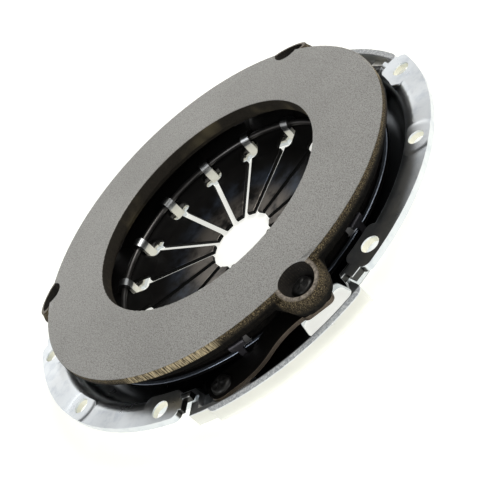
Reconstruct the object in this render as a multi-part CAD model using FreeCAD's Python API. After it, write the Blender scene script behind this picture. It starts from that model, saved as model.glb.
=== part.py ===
import FreeCAD, Part
import math
import os

# Clutch pressure plate assembly: a pressed steel cover, a cast pressure plate,
# a diaphragm spring held between two wire pivot rings, and three packs of drive
# straps. Millimetres. Z = 0 is the back of the cover, +Z points at the flywheel,
# and the plate stands in its free state, fully forward.

os.makedirs("parts", exist_ok=True)

V = FreeCAD.Vector
ORIGIN = V(0, 0, 0)
UP = V(0, 0, 1)
FAR = 300.0
OVERRUN = 1.0

# Counts and angles in degrees
sectors = 3
sector_pitch = 360.0 / sectors
fingers = 15
finger_pitch = 360.0 / fingers
leaves = 3
cone_angle = 11.0
finger_angle = 5.6
tab_droop = 8.0
flange_half_angle = 35.5
hole_angle = 30.0
pad_half_angle = 5.5
bulge_start = 41.0
bulge_end = 82.0
lug_angle = 74.0
window_start = 67.0
window_end = 82.0
cover_rivet_angle = 44.0
shelf_start = 36.3
shelf_end = 51.0
shelf_hollow_start = 38.6
shelf_hollow_end = 48.6
clip_offset = 22.7

# Sheets, wires and clearances
sheet = 3.5
tab_sheet = 2.2
clip_sheet = 0.8
leaf_thickness = 0.7
wire_radius = 1.75
spring_thickness = 2.6
bulge_wall = 3.7
bulge_end_wall = 1.7
running_gap = 0.05
seat_gap = 0.02
wire_gap = 0.08
rivet_clearance = 0.08
clip_leg_gap = 0.3
clip_hook_gap = 0.7
lug_room = 2.5

# Diaphragm spring and its pivot, from the rim inwards
spring_outer_radius = 98.0
fulcrum_inset = 5.2
lever_arm = 19.4
window_depth = 12.8
window_width = 11.5
window_corner = 3.6
window_gap = 0.65
bend_inset = 1.5
spring_tip_radius = 18.5
slot_width = 3.2
rim_edge = 0.8
tip_edge = 0.6
fulcrum_radius = spring_outer_radius - fulcrum_inset
pivot_radius = fulcrum_radius - lever_arm
window_outer_radius = pivot_radius - wire_radius + window_gap
window_inner_radius = window_outer_radius - window_depth
bend_radius_place = window_inner_radius - bend_inset
tab_half_width = 2.6
tab_root_z = 0.4
relief_radius = 2.0
relief_depth = 0.6

# Straps, rivets and clips, outside the spring's rim
strap_half_width = 7.25
strap_flat = 8.5
strap_side_gap = 3.4
strap_pad_widening = 2.0
strap_pad_reach = 8.0
strap_pad_corner = 3.0
rivet_radius = 3.0
rivet_head_radius = 5.3
rivet_head_height = 2.3
rivet_dome = 1.5
clip_half_width = 4.0
clip_reach = 7.8
clip_tail = 4.5
clip_hook_length = 1.5
clip_finger_half = 1.6
clip_shoulder = 2.6
clip_shoulder_slope = 1.2
clip_bend = 0.6
clip_hook_bend = 1.2
clip_pad_radius = 5.0
clip_gap_side = 1.25
clip_gap_start = 2.0
clip_rivet_radius = 2.0
clip_head_radius = 3.6
clip_head_height = 1.5
clip_head_dome = 1.0
clip_rivet_depth = 0.3
clip_hole_end_gap = 0.2
clip_leg_radius = spring_outer_radius + clip_leg_gap + clip_sheet
clip_rivet_place = fulcrum_radius - clip_reach
lug_radius = clip_leg_radius + strap_side_gap + strap_half_width

# Radii of the cover, from the clips outwards
shelf_gap = 1.7
wall_gap = 7.1
wall_lean = 2.4
wall_sheet = 2.8
wall_top_sheet = 3.0
flange_root = 6.4
flange_land = 9.4
flange_margin = 7.0
notch_margin = 3.5
notch_wall = 2.6
bulge_room = 0.55
bulge_foot_reach = 6.0
bulge_foot_step = 1.2
bolt_hole_radius = 4.5
dowel_hole_radius = 4.1
pad_inset = 0.8
pad_start = 1.0
dowel_pad_start = 4.2
pad_depth = 3.0
strap_end_margin = 0.8
strap_end_wall = 1.9
strap_end_overlap = 2.0
lug_window_length = 17.0
lug_window_step = 1.8
lug_boss_radius = 12.2
lug_foot_taper = 1.7
lug_top_taper = 1.7
shelf_inner_radius = clip_leg_radius + shelf_gap
wall_foot_radius = clip_leg_radius + wall_gap
wall_top_radius = wall_foot_radius + wall_lean
flange_root_radius = wall_top_radius + flange_root
bolt_circle_radius = wall_top_radius + flange_land
flange_radius = bolt_circle_radius + flange_margin
notch_floor_radius = bolt_circle_radius + notch_margin
notch_inner_radius = notch_floor_radius - notch_wall
lug_foot_radius = lug_boss_radius - lug_foot_taper
bulge_inner_radius = lug_radius + lug_foot_radius + bulge_room
bulge_rim_radius = bulge_inner_radius + bulge_wall
bulge_foot_radius = bulge_rim_radius - bulge_foot_reach
lug_window_outer_radius = wall_foot_radius + lug_window_step
lug_window_inner_radius = lug_window_outer_radius - lug_window_length

# Radii of the pressure plate
face_gap = 0.6
face_width = 39.5
rim_undercut = 2.4
rim_taper = 2.0
bore_step = 3.0
groove_start = 6.0
groove_end = 4.3
groove_slope = 2.0
fulcrum_half_width = 1.9
fulcrum_foot = 0.7
pocket_wall = 2.2
neck_spread = 4.5
neck_reach = 11.0
face_outer_radius = wall_top_radius - face_gap
face_bore_radius = face_outer_radius - face_width
plate_side_radius = face_outer_radius - rim_undercut
plate_foot_radius = plate_side_radius - rim_taper
plate_bore_radius = face_bore_radius + bore_step
neck_root_radius = lug_window_outer_radius - neck_reach
lug_top_radius = lug_boss_radius - lug_top_taper
pocket_radius = lug_top_radius - pocket_wall

# Heights
flange_z = 20.0
face_rise = 14.0
plate_thickness = 10.5
band_height = 4.4
bore_land = 7.0
bore_chamfer = 0.4
groove_depth = 1.4
lug_drop = 3.5
lug_floor = 7.0
lug_top_drop = 1.0
lug_waist_rise = 4.5
lug_cone_height = 4.0
clip_pad_drop = 4.1
shelf_z = 10.0
bulge_drop = 6.0
bulge_heel_drop = 12.0
face_z = flange_z + face_rise
plate_back_z = face_z - plate_thickness
lug_seat_z = plate_back_z - lug_drop
lug_waist_z = lug_seat_z + lug_waist_rise
pocket_floor_z = lug_seat_z + lug_floor
clip_strip_top = plate_back_z - clip_pad_drop
clip_rivet_top = plate_back_z + clip_rivet_depth
clip_hole_top = clip_rivet_top + clip_hole_end_gap
bulge_top_z = flange_z - bulge_drop
bulge_heel_z = flange_z - bulge_heel_drop

# Bends and corners
wall_bend = 12.0
wall_top_bend = 5.0
wall_inner_bend = 8.5
wall_inner_top_bend = 9.0
bulge_bend = 10.0
bulge_rim_bend = 7.0
bulge_inner_bend = 4.0
bulge_corner = 5.0
bulge_inner_corner = 3.0
flange_corner = 4.0
pad_corner = 3.5
shelf_corner = 5.0
hollow_corner = 3.0
hollow_inner_step = 2.8
hollow_outer_step = 4.1
lug_window_corner = 3.5
plate_edge = 0.5
cast_bend = 1.5
cast_corner = 0.8
groove_bend = 0.4
fulcrum_bend = 1.88
lug_slope = 0.35


def unit(a, b):
    """Unit vector from point a to point b in the plane of a profile."""
    length = math.hypot(b[0] - a[0], b[1] - a[1])
    return (b[0] - a[0]) / length, (b[1] - a[1]) / length


def rounded_wire(points, place):
    """Closed wire through corners (x, y, radius); place turns x, y into a vector."""
    edges = []
    starts = []
    ends = []
    mids = []
    count = len(points)
    for i in range(count):
        x, y, radius = points[i]
        ax, ay = unit((x, y), points[i - 1][:2])
        bx, by = unit((x, y), points[(i + 1) % count][:2])
        if radius == 0:
            starts.append(place(x, y))
            ends.append(place(x, y))
            mids.append(None)
            continue
        half = math.acos(max(-1.0, min(1.0, ax * bx + ay * by))) / 2
        reach = radius / math.tan(half)
        cx, cy = unit((0, 0), (ax + bx, ay + by))
        depth = radius / math.sin(half) - radius
        starts.append(place(x + ax * reach, y + ay * reach))
        ends.append(place(x + bx * reach, y + by * reach))
        mids.append(place(x + cx * depth, y + cy * depth))
    for i in range(count):
        if mids[i] is not None:
            edges.append(Part.Arc(starts[i], mids[i], ends[i]).toShape())
        following = starts[(i + 1) % count]
        if ends[i].distanceToPoint(following) > 1e-6:
            edges.append(Part.LineSegment(ends[i], following).toShape())
    return Part.Wire(edges)


def side_face(points):
    """Face in the XZ plane from corners (r, z, radius)."""
    return Part.Face(rounded_wire(points, lambda r, z: V(r, 0, z)))


def revolved(points):
    """Solid of revolution about Z from corners (r, z, radius)."""
    return side_face(points).revolve(ORIGIN, UP, 360)


def ribbon(points, half_width):
    """Side face extruded both ways along Y."""
    face = side_face(points)
    face.translate(V(0, -half_width, 0))
    return face.extrude(V(0, 2 * half_width, 0))


def polar(radius, angle, z=0.0):
    """Point at a radius and an angle in degrees."""
    turn = math.radians(angle)
    return V(radius * math.cos(turn), radius * math.sin(turn), z)


def turned(shape, angle):
    """Copy of a shape turned about Z."""
    copy = shape.copy()
    copy.rotate(ORIGIN, UP, angle)
    return copy


def ring_sector(inner, outer, start, end, bottom, top):
    """Prism over a sector of a ring."""
    middle = (start + end) / 2
    edges = [
        Part.Arc(polar(outer, start), polar(outer, middle), polar(outer, end)).toShape(),
        Part.LineSegment(polar(outer, end), polar(inner, end)).toShape(),
        Part.Arc(polar(inner, end), polar(inner, middle), polar(inner, start)).toShape(),
        Part.LineSegment(polar(inner, start), polar(outer, start)).toShape(),
    ]
    face = Part.Face(Part.Wire(edges))
    face.translate(V(0, 0, bottom))
    return face.extrude(V(0, 0, top - bottom))


def round_uprights(shape, radius, *places):
    """Fillet the vertical edges that stand at these distances from the axis."""
    chosen = []
    for edge in shape.Edges:
        a = edge.Vertexes[0].Point
        b = edge.Vertexes[-1].Point
        upright = math.hypot(a.x - b.x, a.y - b.y) < 1e-4 and abs(a.z - b.z) > 0.5
        if upright and any(abs(math.hypot(a.x, a.y) - place) < 0.01 for place in places):
            chosen.append(edge)
    return shape.makeFillet(radius, chosen)


def cylinder(radius, centre, bottom, top):
    """Upright cylinder between two heights."""
    return Part.makeCylinder(radius, top - bottom, V(centre.x, centre.y, bottom), UP)


def around(shape, count, pitch):
    """List of copies of a shape about Z."""
    return [turned(shape, i * pitch) for i in range(count)]


def joined(first, others):
    """Fuse of a shape with a list of shapes, with seams removed."""
    return first.fuse(others).removeSplitter()


# Heights that follow from the stack cover, wire, spring, wire
cone_slope = math.tan(math.radians(cone_angle))
finger_slope = math.tan(math.radians(finger_angle))
cone_cosine = math.cos(math.radians(cone_angle))
wire_seat = (wire_radius + running_gap / 2) / cone_cosine
rear_wire_z = sheet + wire_radius + running_gap / 2
spring_depth = spring_thickness / cone_cosine
spring_rear_at_pivot = rear_wire_z + wire_seat
spring_front_at_pivot = spring_rear_at_pivot + spring_depth
front_wire_z = spring_front_at_pivot + wire_seat


def spring_front(radius):
    """Height of the spring's front face at a radius."""
    if radius >= bend_radius_place:
        return spring_front_at_pivot + (radius - pivot_radius) * cone_slope
    bend_z = spring_front_at_pivot + (bend_radius_place - pivot_radius) * cone_slope
    return bend_z - (bend_radius_place - radius) * finger_slope


fulcrum_centre_z = spring_front(fulcrum_radius) + (fulcrum_half_width + running_gap) / cone_cosine
fulcrum_tip_z = fulcrum_centre_z - fulcrum_half_width
tab_inner = wire_radius + wire_gap
tab_outer = tab_inner + tab_sheet
cover_bore_radius = pivot_radius - tab_outer


def pivot_tab():
    """Cover tab that rises through a spring window and curls over the front wire."""
    droop = math.radians(tab_droop)
    r = pivot_radius
    z = front_wire_z
    root = tab_root_z
    tip_in = V(r + tab_inner * math.cos(droop), 0, z - tab_inner * math.sin(droop))
    tip_out = V(r + tab_outer * math.cos(droop), 0, z - tab_outer * math.sin(droop))
    edges = [
        Part.LineSegment(V(r - tab_outer, 0, root), V(r - tab_inner, 0, root)).toShape(),
        Part.LineSegment(V(r - tab_inner, 0, root), V(r - tab_inner, 0, z)).toShape(),
        Part.Arc(V(r - tab_inner, 0, z), V(r, 0, z + tab_inner), tip_in).toShape(),
        Part.LineSegment(tip_in, tip_out).toShape(),
        Part.Arc(tip_out, V(r, 0, z + tab_outer), V(r - tab_outer, 0, z)).toShape(),
        Part.LineSegment(V(r - tab_outer, 0, z), V(r - tab_outer, 0, root)).toShape(),
    ]
    face = Part.Face(Part.Wire(edges))
    face.translate(V(0, -tab_half_width, 0))
    return face.extrude(V(0, 2 * tab_half_width, 0))


def lug_space(radius):
    """Round column about a lug, as wide as the boss and its room in the cover."""
    return cylinder(radius, polar(lug_radius, lug_angle), -OVERRUN, FAR)


def cover_outside():
    """Solid inside the cover's outer skin, up to the flange face."""
    root = flange_root_radius
    bowl = revolved([
        (0, 0, 0),
        (wall_foot_radius + wall_sheet, 0, wall_bend),
        (wall_top_radius + wall_top_sheet, flange_z - sheet, wall_top_bend),
        (root + OVERRUN, flange_z - sheet, 0),
        (root + OVERRUN, flange_z, 0),
        (0, flange_z, 0),
    ])
    bulge = revolved([
        (0, 0, 0),
        (bulge_foot_radius, 0, bulge_bend),
        (bulge_rim_radius, bulge_heel_z, bulge_rim_bend),
        (bulge_rim_radius, bulge_top_z, 0),
        (0, bulge_top_z, 0),
    ])
    plan = ring_sector(pivot_radius, bulge_rim_radius, bulge_start, bulge_end, -OVERRUN, FAR)
    plan = round_uprights(plan, bulge_corner, bulge_rim_radius)
    plan = plan.fuse(lug_space(lug_boss_radius + lug_room + bulge_end_wall))
    flange = ring_sector(
        root, flange_radius, -flange_half_angle, flange_half_angle, flange_z - sheet, flange_z
    )
    flange = round_uprights(flange, flange_corner, flange_radius)
    bridge = ring_sector(
        root, notch_floor_radius, bulge_end - sector_pitch, flange_half_angle + strap_end_margin,
        flange_z - sheet, flange_z
    )
    strap_end = ring_sector(
        pivot_radius, notch_floor_radius, flange_half_angle + strap_end_margin,
        bulge_start + strap_end_overlap, shelf_z - sheet, bulge_top_z
    )
    pieces = around(bulge.common(plan), sectors, sector_pitch)
    pieces += around(flange, sectors, sector_pitch)
    pieces += around(bridge, sectors, sector_pitch)
    pieces += around(strap_end, sectors, sector_pitch)
    return bowl.fuse(pieces)


def strap_shelf():
    """Raised platform that carries the cover end of a strap pack."""
    block = ring_sector(shelf_inner_radius, notch_floor_radius, shelf_start, shelf_end, 0, shelf_z)
    return round_uprights(block, shelf_corner, shelf_inner_radius)


def cover_inside():
    """Space inside the cover's inner skin, open towards the flywheel."""
    bowl = revolved([
        (0, sheet, 0),
        (wall_foot_radius, sheet, wall_inner_bend),
        (wall_top_radius, flange_z, wall_inner_top_bend),
        (bulge_rim_radius, flange_z, 0),
        (bulge_rim_radius, FAR, 0),
        (0, FAR, 0),
    ])
    bulge = revolved([
        (0, sheet, 0),
        (bulge_foot_radius - bulge_foot_step, sheet, bulge_rim_bend),
        (bulge_inner_radius, bulge_heel_z + OVERRUN, bulge_inner_bend),
        (bulge_inner_radius, FAR, 0),
        (0, FAR, 0),
    ])
    plan = ring_sector(
        pivot_radius, bulge_inner_radius, bulge_start + bulge_end_wall,
        bulge_end - bulge_end_wall, 0, FAR
    )
    plan = round_uprights(plan, bulge_inner_corner, bulge_inner_radius)
    plan = plan.fuse(lug_space(lug_boss_radius + lug_room))
    strap_end = ring_sector(
        shelf_inner_radius, notch_inner_radius,
        flange_half_angle + strap_end_margin + strap_end_wall, bulge_start + strap_end_overlap + OVERRUN,
        shelf_z, FAR
    )
    pieces = around(bulge.common(plan), sectors, sector_pitch)
    pieces += around(strap_end, sectors, sector_pitch)
    space = bowl.fuse(pieces)
    return space.cut(around(strap_shelf(), sectors, sector_pitch))


def hole_pad(angle, inner):
    """Flat raised pad around a hole of the flange, at the flange face."""
    outer = flange_radius - pad_inset
    start = angle - pad_half_angle
    end = angle + pad_half_angle
    pad = ring_sector(inner, outer, start, end, flange_z - pad_depth, flange_z)
    return round_uprights(pad, pad_corner, inner, outer)


def make_cover():
    """Pressed cover with bulges at the lugs, folded tabs, pads, holes and windows."""
    shell = cover_outside().cut(cover_inside())
    shell = shell.cut(cylinder(cover_bore_radius, ORIGIN, -OVERRUN, FAR))
    hollow_inner = shelf_inner_radius + hollow_inner_step
    hollow_outer = notch_floor_radius - hollow_outer_step
    hollow = ring_sector(
        hollow_inner, hollow_outer, shelf_hollow_start, shelf_hollow_end, -OVERRUN, shelf_z - sheet
    )
    hollow = round_uprights(hollow, hollow_corner, hollow_inner, hollow_outer)
    inner = lug_window_inner_radius
    outer = lug_window_outer_radius
    window = ring_sector(inner, outer, window_start, window_end, -OVERRUN, 2 * sheet)
    window = round_uprights(window, lug_window_corner, inner, outer)
    cover_rivet = cylinder(
        rivet_radius + rivet_clearance, polar(lug_radius, cover_rivet_angle), 0, shelf_z + OVERRUN
    )
    relief_y = tab_half_width + relief_radius
    cuts = []
    for side in (-relief_y, relief_y):
        relief = cylinder(relief_radius, V(cover_bore_radius + relief_depth, side, 0), -OVERRUN, 2 * sheet)
        cuts += around(relief, fingers, finger_pitch)
    cuts += around(hollow, sectors, sector_pitch)
    cuts += around(window, sectors, sector_pitch)
    cuts += around(cover_rivet, sectors, sector_pitch)
    pads = []
    holes = (
        (-hole_angle, bolt_hole_radius, pad_start),
        (0, dowel_hole_radius, dowel_pad_start),
        (hole_angle, bolt_hole_radius, pad_start),
    )
    for angle, radius, start in holes:
        pads += around(hole_pad(angle, wall_top_radius + start), sectors, sector_pitch)
        hole = cylinder(radius, polar(bolt_circle_radius, angle), shelf_z, FAR)
        cuts += around(hole, sectors, sector_pitch)
    shell = joined(shell, pads)
    return shell.cut(cuts).fuse(around(pivot_tab(), fingers, finger_pitch))


def make_spring():
    """Conical diaphragm spring: closed rim, slotted fingers, a window at each tab."""
    tip_z = spring_front(spring_tip_radius)
    bend_z = spring_front(bend_radius_place)
    rim_z = spring_front(spring_outer_radius)
    disc = revolved([
        (spring_tip_radius, tip_z - spring_depth, tip_edge),
        (bend_radius_place, bend_z - spring_depth, 0),
        (spring_outer_radius, rim_z - spring_depth, rim_edge),
        (spring_outer_radius, rim_z, rim_edge),
        (bend_radius_place, bend_z, 0),
        (spring_tip_radius, tip_z, tip_edge),
    ])
    slot = Part.makeBox(window_inner_radius, slot_width, FAR, V(0, -slot_width / 2, -OVERRUN))
    window = Part.makeBox(
        window_depth, window_width, FAR, V(window_inner_radius, -window_width / 2, -OVERRUN)
    )
    window = window.makeFillet(window_corner, [e for e in window.Edges if abs(e.Length - FAR) < 0.1])
    link = Part.makeBox(OVERRUN, slot_width, FAR, V(window_inner_radius, -slot_width / 2, -OVERRUN))
    cutter = slot.fuse([link, window])
    return disc.cut(around(cutter, fingers, finger_pitch))


def lug_boss():
    """Cast boss at a lug: widest halfway up, sloping top, flared neck into the plate."""
    rim_z = face_z - band_height
    boss = revolved([
        (0, lug_seat_z, 0),
        (lug_foot_radius, lug_seat_z, plate_edge),
        (lug_boss_radius, lug_waist_z, cast_bend),
        (lug_top_radius, lug_waist_z + lug_cone_height, cast_bend),
        (lug_top_radius, face_z, 0),
        (0, face_z, 0),
    ])
    boss.translate(V(lug_radius, 0, 0))
    root_half = lug_boss_radius + neck_spread
    neck = Part.Face(Part.makePolygon([
        V(neck_root_radius, -root_half, 0),
        V(lug_radius, -lug_boss_radius, 0),
        V(lug_radius, lug_boss_radius, 0),
        V(neck_root_radius, root_half, 0),
        V(neck_root_radius, -root_half, 0),
    ]))
    neck.translate(V(0, 0, plate_back_z))
    neck = neck.extrude(V(0, 0, rim_z - plate_back_z))
    reach = 2 * lug_boss_radius
    top = face_z - lug_top_drop
    above = ribbon([
        (face_outer_radius - reach, top + lug_slope * reach, 0),
        (face_outer_radius + reach, top - lug_slope * reach, 0),
        (face_outer_radius + reach, FAR, 0),
        (face_outer_radius - reach, FAR, 0),
    ], reach)
    body = boss.cut(above).fuse(neck)
    return turned(body, lug_angle)


def clip_angles():
    """Angles of the six retraction clips, a pair about each lug."""
    angles = []
    for i in range(sectors):
        angles.append(lug_angle - clip_offset + i * sector_pitch)
        angles.append(lug_angle + clip_offset + i * sector_pitch)
    return angles


def make_plate():
    """Cast pressure plate with machined face, fulcrum ring, lugs and clip pads."""
    band_z = face_z - band_height
    bore_z = face_z - bore_land
    groove_z = plate_back_z + groove_depth
    foot = fulcrum_half_width + fulcrum_foot
    groove_in = face_bore_radius + groove_start
    groove_out = fulcrum_radius - groove_end
    body = revolved([
        (face_bore_radius, face_z, plate_edge),
        (face_outer_radius, face_z, plate_edge),
        (face_outer_radius, band_z, groove_bend),
        (plate_side_radius, band_z - groove_bend, cast_corner),
        (plate_foot_radius, plate_back_z, cast_bend),
        (fulcrum_radius + foot, plate_back_z, cast_bend),
        (fulcrum_radius + fulcrum_half_width, fulcrum_tip_z, fulcrum_bend),
        (fulcrum_radius - fulcrum_half_width, fulcrum_tip_z, fulcrum_bend),
        (fulcrum_radius - foot, plate_back_z, cast_corner),
        (groove_out, plate_back_z, groove_bend),
        (groove_out - groove_slope, groove_z, groove_bend),
        (groove_in + groove_slope, groove_z, groove_bend),
        (groove_in, plate_back_z, groove_bend),
        (plate_bore_radius, plate_back_z, cast_corner),
        (plate_bore_radius, bore_z, cast_corner),
        (face_bore_radius, bore_z - bore_chamfer, plate_edge),
    ])
    place = polar(clip_rivet_place, 0)
    clip_pad = cylinder(clip_pad_radius, place, clip_strip_top, groove_z + groove_bend)
    gap_half = clip_half_width + clip_gap_side
    clip_gap = Part.makeBox(
        FAR, 2 * gap_half, clip_strip_top - fulcrum_tip_z + clip_sheet,
        V(clip_rivet_place + clip_gap_start, -gap_half, fulcrum_tip_z - clip_sheet)
    )
    clip_hole = cylinder(
        clip_rivet_radius + running_gap, place, clip_strip_top - OVERRUN, clip_hole_top
    )
    body = body.cut([turned(clip_gap, angle) for angle in clip_angles()])
    body = joined(body, around(lug_boss(), sectors, sector_pitch) + [
        turned(clip_pad, angle) for angle in clip_angles()
    ])
    centre = polar(lug_radius, lug_angle)
    pocket = cylinder(pocket_radius, centre, pocket_floor_z, FAR)
    shank_hole = cylinder(rivet_radius + rivet_clearance, centre, lug_seat_z - OVERRUN, FAR)
    cuts = around(pocket, sectors, sector_pitch)
    cuts += around(shank_hole, sectors, sector_pitch)
    cuts += [turned(clip_hole, angle) for angle in clip_angles()]
    return body.cut(cuts)


# Drop and span of a strap pack between its two rivets
leaf_step = leaf_thickness + seat_gap
pack_bottom_at_lug = lug_seat_z - leaves * leaf_step
pack_bottom_at_cover = shelf_z + seat_gap
strap_drop = pack_bottom_at_lug - pack_bottom_at_cover
strap_span = 2 * lug_radius * math.sin(math.radians(lug_angle - cover_rivet_angle) / 2)
strap_overrun = 2 * strap_half_width


def s_edges(z):
    """Edges of one side of a leaf: flat at the lug, an S of two arcs, flat at the cover."""
    run = strap_span - 2 * strap_flat
    bend = (run * run + strap_drop * strap_drop) / (4 * strap_drop)
    sweep = 2 * math.atan(strap_drop / run)
    sine = math.sin(sweep / 2)
    cosine = math.cos(sweep / 2)
    a = V(strap_flat, 0, z)
    b = V(strap_flat + bend * sine, 0, z - bend * (1 - cosine))
    c = V(strap_span / 2, 0, z - strap_drop / 2)
    d = V(strap_span - strap_flat - bend * sine, 0, z - strap_drop + bend * (1 - cosine))
    e = V(strap_span - strap_flat, 0, z - strap_drop)
    return [
        Part.LineSegment(V(-strap_overrun, 0, z), a).toShape(),
        Part.Arc(a, b, c).toShape(),
        Part.Arc(c, d, e).toShape(),
        Part.LineSegment(e, V(strap_span + strap_overrun, 0, z - strap_drop)).toShape(),
    ]


def strap_leaf(index):
    """One spring steel leaf, counted from the lug side, placed at the first lug."""
    top = lug_seat_z - seat_gap - index * leaf_step
    low = top - leaf_thickness
    far = strap_span + strap_overrun
    ends = [
        Part.LineSegment(V(-strap_overrun, 0, top), V(-strap_overrun, 0, low)).toShape(),
        Part.LineSegment(V(far, 0, top - strap_drop), V(far, 0, low - strap_drop)).toShape(),
    ]
    wire = Part.Wire(Part.__sortEdges__(s_edges(top) + s_edges(low) + ends))
    face = Part.Face(wire)
    face.translate(V(0, -strap_overrun, 0))
    curve = face.extrude(V(0, 2 * strap_overrun, 0))
    end_place = V(strap_span, 0, 0)
    bar = Part.makeBox(
        strap_span, 2 * strap_half_width, FAR, V(0, -strap_half_width, -OVERRUN)
    )
    pad_half = strap_half_width + strap_pad_widening
    pad = Part.makeBox(
        2 * strap_pad_reach, 2 * pad_half, FAR, V(-strap_pad_reach, -pad_half, -OVERRUN)
    )
    pad = pad.makeFillet(strap_pad_corner, [e for e in pad.Edges if abs(e.Length - FAR) < 0.1])
    outline = bar.fuse([
        pad,
        cylinder(strap_half_width, end_place, -OVERRUN, FAR),
    ]).removeSplitter()
    leaf = curve.common(outline)
    leaf = leaf.cut([
        cylinder(rivet_radius + rivet_clearance, ORIGIN, -OVERRUN, FAR),
        cylinder(rivet_radius + rivet_clearance, end_place, -OVERRUN, FAR),
    ])
    start = polar(lug_radius, lug_angle)
    end = polar(lug_radius, cover_rivet_angle)
    heading = math.degrees(math.atan2(end.y - start.y, end.x - start.x))
    leaf.rotate(ORIGIN, UP, heading)
    leaf.translate(start)
    return leaf


def make_rivet(head_low, grip_low):
    """Rivet on the Z axis: domed head above head_low, shank, domed tail under grip_low."""
    return revolved([
        (0, grip_low - rivet_head_height, 0),
        (rivet_head_radius, grip_low - rivet_head_height, rivet_dome),
        (rivet_head_radius, grip_low, 0),
        (rivet_radius, grip_low, 0),
        (rivet_radius, head_low, 0),
        (rivet_head_radius, head_low, 0),
        (rivet_head_radius, head_low + rivet_head_height, rivet_dome),
        (0, head_low + rivet_head_height, 0),
    ])


# Clip strip under the plate and its rivet
clip_low = clip_strip_top - running_gap - clip_sheet


def make_clip():
    """Retraction clip: strip under the plate, leg and hook round the spring's rim."""
    leg_in = clip_leg_radius - clip_sheet
    hook_z = spring_front(spring_outer_radius) - spring_depth - clip_hook_gap - clip_sheet
    tail = clip_rivet_place - clip_tail
    clip = ribbon([
        (tail, clip_low, 0),
        (leg_in, clip_low, clip_bend),
        (leg_in, hook_z + clip_sheet, 0),
        (leg_in - clip_hook_length, hook_z + clip_sheet, 0),
        (leg_in - clip_hook_length, hook_z, 0),
        (clip_leg_radius, hook_z, clip_hook_bend),
        (clip_leg_radius, clip_low + clip_sheet, clip_hook_bend),
        (tail, clip_low + clip_sheet, 0),
    ], clip_half_width)
    hole = cylinder(clip_rivet_radius + running_gap, polar(clip_rivet_place, 0), 0, FAR)
    shoulder_z = clip_low - clip_shoulder
    near = leg_in - clip_hook_length - clip_sheet
    cuts = [hole]
    for side in (-1, 1):
        beside = Part.Face(Part.makePolygon([
            V(near, side * clip_finger_half, 0),
            V(near, side * clip_finger_half, shoulder_z),
            V(near, side * 2 * clip_half_width, shoulder_z + clip_shoulder_slope * 2),
            V(near, side * 2 * clip_half_width, 0),
            V(near, side * clip_finger_half, 0),
        ]))
        cuts.append(beside.extrude(V(clip_leg_radius - near + clip_sheet, 0, 0)))
    return clip.cut(cuts)


def make_clip_rivet():
    """Small rivet that fastens a clip to its pad under the plate."""
    low = clip_low - seat_gap
    return revolved([
        (0, low - clip_head_height, 0),
        (clip_head_radius, low - clip_head_height, clip_head_dome),
        (clip_head_radius, low, 0),
        (clip_rivet_radius, low, 0),
        (clip_rivet_radius, clip_rivet_top, 0),
        (0, clip_rivet_top, 0),
    ])


def moved_to(shape, place):
    """Copy of a shape moved sideways to a place."""
    copy = shape.copy()
    copy.translate(place)
    return copy


def save(name, shape):
    """Write one node and print its size."""
    solids = shape.Solids
    if len(solids) == 1:
        shape = solids[0]
    shape.exportStep("parts/" + name + ".step")
    box = shape.BoundBox
    print(name, len(solids), shape.isValid(), round(shape.Volume, 1), round(box.ZMin, 2), round(box.ZMax, 2))


save("cover", make_cover())
save("diaphragm_spring", make_spring())
save("front_pivot_ring", Part.makeTorus(pivot_radius, wire_radius, V(0, 0, front_wire_z)))
save("rear_pivot_ring", Part.makeTorus(pivot_radius, wire_radius, V(0, 0, rear_wire_z)))
save("pressure_plate", make_plate())

lug_rivet = make_rivet(pocket_floor_z + seat_gap, pack_bottom_at_lug - seat_gap)
cover_rivet = make_rivet(pack_bottom_at_cover + leaves * leaf_step, shelf_z - sheet - seat_gap)
for i in range(sectors):
    turn = i * sector_pitch
    number = str(i + 1)
    for index in range(leaves):
        leaf_name = "drive_strap_" + number + "_leaf_" + str(index + 1)
        save(leaf_name, turned(strap_leaf(index), turn))
    save("lug_rivet_" + number, moved_to(lug_rivet, polar(lug_radius, lug_angle + turn)))
    cover_place = polar(lug_radius, cover_rivet_angle + turn)
    save("strap_cover_rivet_" + number, moved_to(cover_rivet, cover_place))

for number, angle in enumerate(clip_angles(), 1):
    save("retraction_clip_" + str(number), turned(make_clip(), angle))
    clip_place = polar(clip_rivet_place, angle)
    save("clip_rivet_" + str(number), moved_to(make_clip_rivet(), clip_place))
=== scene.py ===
# %% [markdown]
# # A clutch pressure plate, piece by piece
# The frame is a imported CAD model: every solid at its real size and place, in
# metres, with +Z pointing from the gearbox side to the flywheel side. This
# lesson dresses it: which pieces keep their CAD solid, which get a smoother
# surface worked out with numpy, and what each finish is made of.

# %% Load the frame
import math
import bmesh
import bpy
import numpy as np
from mathutils import Matrix, Vector


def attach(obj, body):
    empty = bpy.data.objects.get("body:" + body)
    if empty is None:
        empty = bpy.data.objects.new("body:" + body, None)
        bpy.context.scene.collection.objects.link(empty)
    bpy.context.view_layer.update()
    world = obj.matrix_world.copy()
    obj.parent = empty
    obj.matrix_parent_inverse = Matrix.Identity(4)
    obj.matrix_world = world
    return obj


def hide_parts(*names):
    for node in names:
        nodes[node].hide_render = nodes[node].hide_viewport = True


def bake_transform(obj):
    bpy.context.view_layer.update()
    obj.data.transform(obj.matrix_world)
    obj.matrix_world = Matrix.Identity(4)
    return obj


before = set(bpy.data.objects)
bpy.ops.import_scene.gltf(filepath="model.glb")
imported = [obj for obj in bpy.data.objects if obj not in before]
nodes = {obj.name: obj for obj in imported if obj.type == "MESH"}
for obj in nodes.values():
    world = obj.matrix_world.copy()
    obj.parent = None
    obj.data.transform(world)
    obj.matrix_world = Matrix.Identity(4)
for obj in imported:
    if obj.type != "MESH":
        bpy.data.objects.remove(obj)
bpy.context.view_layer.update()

collection = bpy.context.scene.collection

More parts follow.
